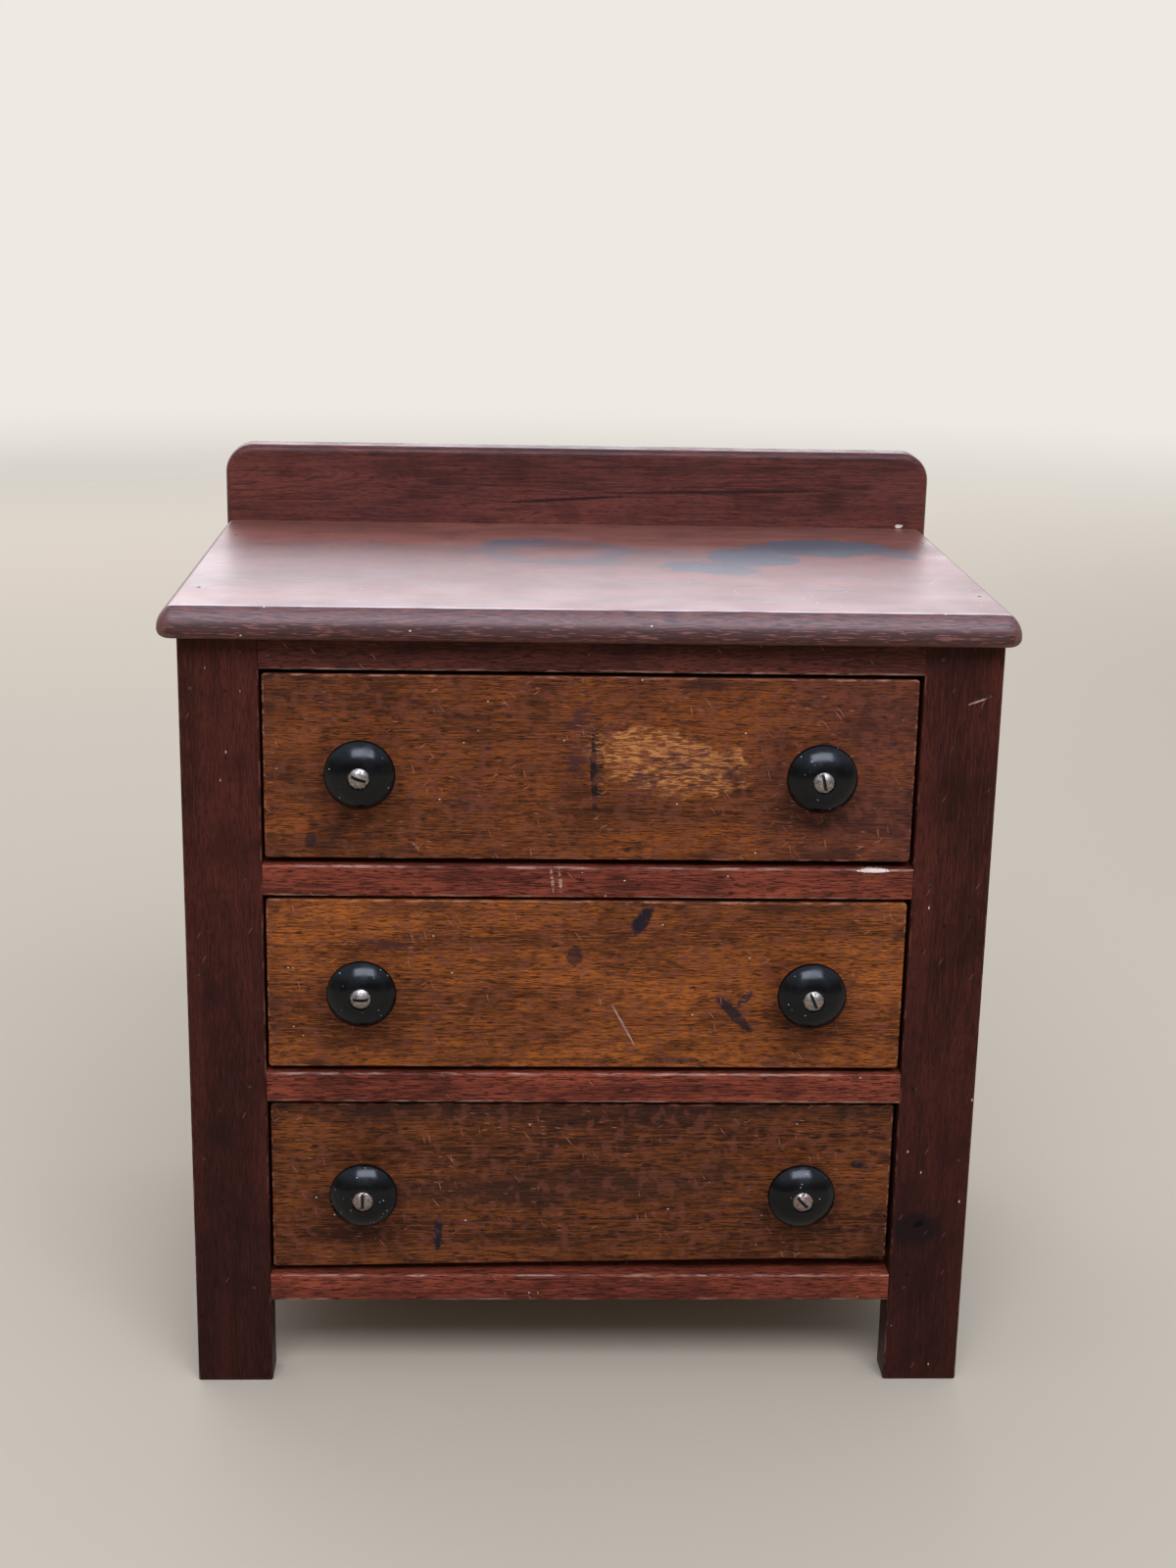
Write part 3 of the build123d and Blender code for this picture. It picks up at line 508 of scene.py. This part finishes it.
def polished_top():
    """Mahogany, hand-rubbed polish worn to a haze: it turns pale towards the light, and the wood
    shows red where it doesn't. Water has left grey marks. The moulding is darker than the
    flat, and its nosing, turned down away from the sky, is painted darker again as painted
    shade. A pale line along the front arris of the flat is a painted highlight."""
    material, place, shifted = new_material("top, mahogany, rubbed polish with water marks", 5.0)
    colour, sunk = grain_colour(
        material, shifted, ALONG_X, ("#63392c", "#82493a", "#4c2b23", "#3d221c"), figure=26.0,
        lines=0.25, line=0.9, pores=0.4)
    low, high = (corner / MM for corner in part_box("top_board"))
    behind = Vector((0, ANY, 0))  # the back edge has no moulding
    side_depth, front_depth, _ = insets(material, place, low, high + behind, (1, 1, 0))
    depth = add_node(
        material, "ShaderNodeMath", {0: side_depth, 1: front_depth}, operation="MINIMUM")
    moulding = add_node(
        material, "ShaderNodeMapRange",
        {"Value": depth, "From Min": MOULDING_RUN + 0.2, "From Max": MOULDING_RUN - 0.2})
    # painted shade: the nosing turns down away from the sky, so it is painted darker and duller
    nosing = add_node(
        material, "ShaderNodeMapRange", {"Value": depth, "From Min": 0.9, "From Max": 0.2},
        interpolation_type="SMOOTHSTEP")
    # painted highlight: a pale line along the front arris of the flat, where it catches the light
    near_arris = add_node(
        material, "ShaderNodeMapRange",
        {"Value": depth, "From Min": MOULDING_RUN - 0.4, "From Max": MOULDING_RUN + 0.1,
         "To Max": grain(material, shifted, 0.8, 14.0, ALONG_X, 0.3, 0.5, 0.75)})
    arris = add_node(
        material, "ShaderNodeMapRange",
        {"Value": front_depth, "From Min": MOULDING_RUN + 0.8, "From Max": MOULDING_RUN + 0.3,
         "To Max": near_arris})
    wet = 0.0
    marks = []
    for (x, y), shape in water_marks:
        mark = stain(material, place, (x, y, high.z), on_top=True,
                     **{"ragged": 0.5, "soft": 0.12, **shape})
        marks.append((WATER, mark))
        wet = add_node(material, "ShaderNodeMath", {0: wet, 1: mark}, operation="MAXIMUM")
    marks += [
        ("#5c2e26", moulding),
        # painted shade on the nosing
        ("#3a120b", nosing),
        ("#2e130f", grain(material, shifted, 0.5, 7.0, ALONG_X, 0.47, 0.62, moulding)),
        ("#6e4034", grain(material, shifted, 0.5, 6.0, ALONG_X, 0.55, 0.66, moulding)),
        (BLOT, strokes(material, shifted, 2.0, 1.4, ALONG_X, 0.02, strength=0.5)),
        (FLECK, strokes(material, shifted, 0.8, 0.7, ALONG_X, 0.012, strength=0.7)),
        # painted highlight along the front arris
        ("#e6dcda", arris),
    ]
    haze = add_node(
        material, "ShaderNodeMapRange",
        {"Value": cloud(material, shifted, 24.0, 0.3, 0.7), "To Min": 0.35, "To Max": 0.41})
    rough = add_node(
        material, "ShaderNodeMapRange", {"Value": moulding, "To Min": haze, "To Max": 0.55})
    raised = add_node(material, "ShaderNodeMath", {0: 1.0, 1: sunk}, operation="SUBTRACT")
    normal = add_node(material, "ShaderNodeBump", {"Height": raised, "Distance": 0.03 * MM})
    dull = add_node(material, "ShaderNodeMath", {0: wet, 1: nosing}, operation="MAXIMUM")
    sheen = add_node(
        material, "ShaderNodeMapRange", {"Value": dull, "To Min": 0.65, "To Max": 0.44})
    shade(material, Base_Color=lay(material, colour, marks), Roughness=rough, Normal=normal,
          Specular_IOR_Level=sheen)
    cover("top_board", material)


polished_top()

# ---------------------------------------------------------------- wood that was left bare inside
LINING_TONES = ("#8c6848", "#b38b66", "#6c4c34", "#5c402b")
PINE_TONES = ("#94704a", "#c09868", "#7a5836", "#64462c")
BACK_TONES = ("#3a2218", "#5c3826", "#281610", "#20110c")
HANDLED = "#5e4630"  # grey-brown from hands and dust

lining = {
    along: wood(
        f"drawer lining, planed softwood, along {'XYZ'[along]}", along, LINING_TONES,
        [(HANDLED, cloud, dict(size=30.0, start=0.5, end=0.75, strength=0.5))], 19.0,
        roughness=(0.62, 0.8), specular=0.25)
    for along in (ALONG_X, ALONG_Y)
}
pine = {
    along: wood(
        f"runner, sawn pine, along {'XYZ'[along]}", along, PINE_TONES,
        [(HANDLED, cloud, dict(size=22.0, start=0.5, end=0.7, strength=0.6))], 41.0,
        roughness=(0.7, 0.85), specular=0.2, figure=14.0, pore_depth=0.1)
    for along in (ALONG_X, ALONG_Y)
}
back_wood = wood(
    "back, softwood, thin dark stain", ALONG_X, BACK_TONES,
    [(SCRATCH, strokes, dict(length=3.0, width=0.3, along=ALONG_X, tilt=0.9, share=0.02,
                             strength=0.4))], 67.0, roughness=(0.6, 0.75), specular=0.3)
for level in LEVELS:
    for part in ("drawer_back", "drawer_bottom"):
        cover(f"{level}_{part}", lining[ALONG_X])
    for side in SIDES:
        cover(f"{level}_drawer_side_{side}", lining[ALONG_Y])
        cover(f"{level}_runner_{side}", pine[ALONG_Y])
for node in ("drawer_guides_left", "drawer_guides_right", "kicker_left", "kicker_right"):
    cover(node, pine[ALONG_Y])
for node in ("glue_blocks", "drawer_stops"):
    cover(node, pine[ALONG_X])
for node in ("back_panel", "rear_top_rail", "rear_bottom_rail"):
    cover(node, back_wood)

# ---------------------------------------------------------------- knobs, screws and nails
DOME_RADIUS = 4.74  # of a screw head that is 8 mm across and 2.2 mm high, mm


def ebonised_knob(level, side, seed):
    """Turned wood, stained black and polished: deep gloss, with small pale chips and dust."""
    material, _, shifted = new_material(f"{level} knob {side}, ebonised turned wood", seed)
    worn = cloud(material, shifted, 5.0, 0.4, 0.7)
    colour = lay(material, linear("#020203"), [
        ("#050609", worn),
        ("#7d828a", strokes(material, shifted, 0.9, 0.4, ALONG_X, 0.03, tilt=0.6, strength=0.7)),
        ("#a9adb2", strokes(material, shifted, 0.5, 0.4, ALONG_X, 0.02)),
    ])
    rough = add_node(
        material, "ShaderNodeMapRange", {"Value": worn, "To Min": 0.16, "To Max": 0.3})
    shade(material, Base_Color=colour, Roughness=rough, Specular_IOR_Level=0.25)
    cover(f"{level}_knob_{side}", material)


def screw_steel(level, seed, rust):
    """Old steel screws: worn bright on the dome and brown with rust in places, with painted shade
    in the slot.

    The slot is what lies below the dome, which is near enough a paraboloid about each axis.
    """
    material, place, shifted = new_material(f"{level} knob screws, old steel", seed)
    low, _ = (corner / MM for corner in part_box(f"{level}_knob_screws"))
    left, right = (sum(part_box(f"{level}_knob_{side}"), Vector()) / 2 / MM for side in SIDES)
    apex = Vector(((left.x + right.x) / 2, low.y, left.z))
    local = add_node(
        material, "ShaderNodeVectorMath", {0: place, 1: apex}, operation="SUBTRACT")
    across = add_node(material, "ShaderNodeSeparateXYZ", {0: local})
    _, sunk, up = across.node.outputs
    aside = add_node(material, "ShaderNodeMath", {0: across}, operation="ABSOLUTE")
    aside = add_node(
        material, "ShaderNodeMath", {0: aside, 1: (right.x - left.x) / 2}, operation="SUBTRACT")
    off_axis = add_node(material, "ShaderNodeCombineXYZ", {0: aside, 2: up})
    squared = add_node(
        material, "ShaderNodeVectorMath", {0: off_axis, 1: off_axis}, operation="DOT_PRODUCT")
    dome = add_node(
        material, "ShaderNodeMath", {0: squared, 1: -0.5 / DOME_RADIUS, 2: sunk},
        operation="MULTIPLY_ADD")
    # painted shade: the slot, which lies below the dome, is painted near black
    slot_shade = add_node(
        material, "ShaderNodeMapRange", {"Value": dome, "From Min": 0.12, "From Max": 0.5})
    bloom = cloud(material, shifted, 1.6, 0.62 - rust / 4, 0.76 - rust / 4)
    colour = lay(material, linear("#9c958c"), [
        ("#5f564f", cloud(material, shifted, 0.7, 0.5, 0.62, 0.8)),
        ("#6a4a3a", bloom),
        # painted shade in the slot
        ("#120e0c", slot_shade),
    ])
    dulled = add_node(material, "ShaderNodeMath", {0: bloom, 1: slot_shade}, operation="MAXIMUM")
    metallic = add_node(
        material, "ShaderNodeMapRange", {"Value": dulled, "To Min": 1.0, "To Max": 0.2})
    rough = add_node(
        material, "ShaderNodeMapRange", {"Value": dulled, "To Min": 0.4, "To Max": 0.75})
    shade(material, Base_Color=colour, Metallic=metallic, Roughness=rough)
    cover(f"{level}_knob_screws", material)


def nail_iron():
    """Cut nails and pins, iron: dark brown-black scale."""
    material, _, shifted = new_material("nails, dark iron", 3.0)
    scale = cloud(material, shifted, 0.9, 0.4, 0.65)
    colour = lay(material, linear("#2c241f"), [("#5a4034", scale)])
    rough = add_node(
        material, "ShaderNodeMapRange", {"Value": scale, "To Min": 0.5, "To Max": 0.8})
    shade(material, Base_Color=colour, Metallic=0.6, Roughness=rough)
    nails = ["rail_pins", "stile_nails", "top_nails", "gallery_nails"]
    for node in nails + [f"{level}_drawer_bottom_nails" for level in LEVELS]:
        cover(node, material)


rusts = {UPPER: 0.3, MIDDLE: 0.35, LOWER: 0.65}
for number, level in enumerate(LEVELS):
    for side in SIDES:
        ebonised_knob(level, side, 7.0 * number + len(side))
    screw_steel(level, 13.0 * number, rusts[level])
nail_iron()

# ---------------------------------------------------------------- floor, light and camera
# Radiance of the surround, where 1 is a white that just fills the picture's range.
FRONT_HORIZON = 0.3
REAR_HORIZON = 1.05
OVERHEAD = 1.35
FLOOR_SIZE = 30.0  # m
FLOOR_FADE = 1.3  # how far out the floor starts to fade, m
FLOOR_END = 3.6  # how far out there is none left, m


def stage_floor():
    """A wide matt floor in a warm pale grey, which fades into the surround far off."""
    bpy.ops.mesh.primitive_plane_add(size=FLOOR_SIZE)
    floor = bpy.context.object
    floor.name = "floor"
    material, place, _ = new_material("floor, matt pale paint")
    distance = add_node(material, "ShaderNodeVectorMath", {0: place}, operation="LENGTH")
    near = add_node(
        material, "ShaderNodeMapRange",
        {"Value": distance, "From Min": FLOOR_END / MM, "From Max": FLOOR_FADE / MM},
        interpolation_type="SMOOTHSTEP")
    shade(material, Base_Color=linear("#a89a84"), Roughness=0.9, Alpha=near)
    floor.data.materials.append(material)


def softbox(name, location, target, size, power, tint):
    """A large soft studio light that faces a point. Lengths are in metres, and power in watts."""
    light = bpy.data.lights.new(name, "AREA")
    light.shape = "RECTANGLE"
    light.size, light.size_y = size
    light.energy = power
    light.color = linear(tint)[:3]
    lamp = bpy.data.objects.new(name, light)
    lamp.location = location
    lamp.rotation_euler = (Vector(target) - Vector(location)).to_track_quat("-Z", "Y").to_euler()
    bpy.context.scene.collection.objects.link(lamp)


def soft_surround():
    """An overcast dome: bright overhead, dimmer low down, and dimmest low in front of the chest."""
    world = bpy.data.worlds.new("soft room")
    bpy.context.scene.world = world
    world.use_nodes = True
    direction = add_node(world, "ShaderNodeTexCoord", {}).node.outputs["Generated"]
    rightward = add_node(world, "ShaderNodeSeparateXYZ", {0: direction})
    _, backward, upward = rightward.node.outputs
    horizon = add_node(
        world, "ShaderNodeMapRange",
        {"Value": backward, "From Min": -0.2, "From Max": 0.5, "To Min": FRONT_HORIZON,
         "To Max": REAR_HORIZON})
    height = add_node(
        world, "ShaderNodeMapRange", {"Value": upward, "From Min": 0.12, "From Max": 0.62},
        interpolation_type="SMOOTHSTEP")
    strength = add_node(
        world, "ShaderNodeMix", {0: height, 2: horizon, 3: OVERHEAD}, data_type="FLOAT")
    background = world.node_tree.nodes["Background"]
    tint = lay(world, linear("#e9e4dc"), [("#cfdff8", height)])
    world.node_tree.links.new(tint, background.inputs["Color"])
    world.node_tree.links.new(strength, background.inputs["Strength"])


def camera():
    """A hand-held camera a little above the chest, tipped down at it."""
    yaw, pitch, roll = (math.radians(angle) for angle in (2.35, 15.55, 1.13))
    lens = bpy.data.cameras.new("camera")
    lens.sensor_width = 36.0
    lens.lens = 51.39
    lens.clip_start = 0.01
    eye = bpy.data.objects.new("camera", lens)
    place = Matrix.Translation(Vector((-32.8, -885.0, 465.8)) * MM)
    turn = Matrix.Rotation(-yaw, 4, "Z") @ Matrix.Rotation(math.pi / 2 - pitch, 4, "X")
    eye.matrix_world = place @ turn @ Matrix.Rotation(roll, 4, "Z")
    bpy.context.scene.collection.objects.link(eye)
    bpy.context.scene.camera = eye


stage_floor()
soft_surround()
softbox("back softbox", (-0.7, 2.2, 1.15), (0, 0, 0.3), (3.2, 1.1), 40.0, "#ebe7f0")
softbox("front softbox", (0.15, -1.5, 1.8), (0, 0, 0.2), (1.9, 0.9), 62.0, "#dde5fb")
camera()
bpy.context.scene.view_settings.view_transform = "Standard"
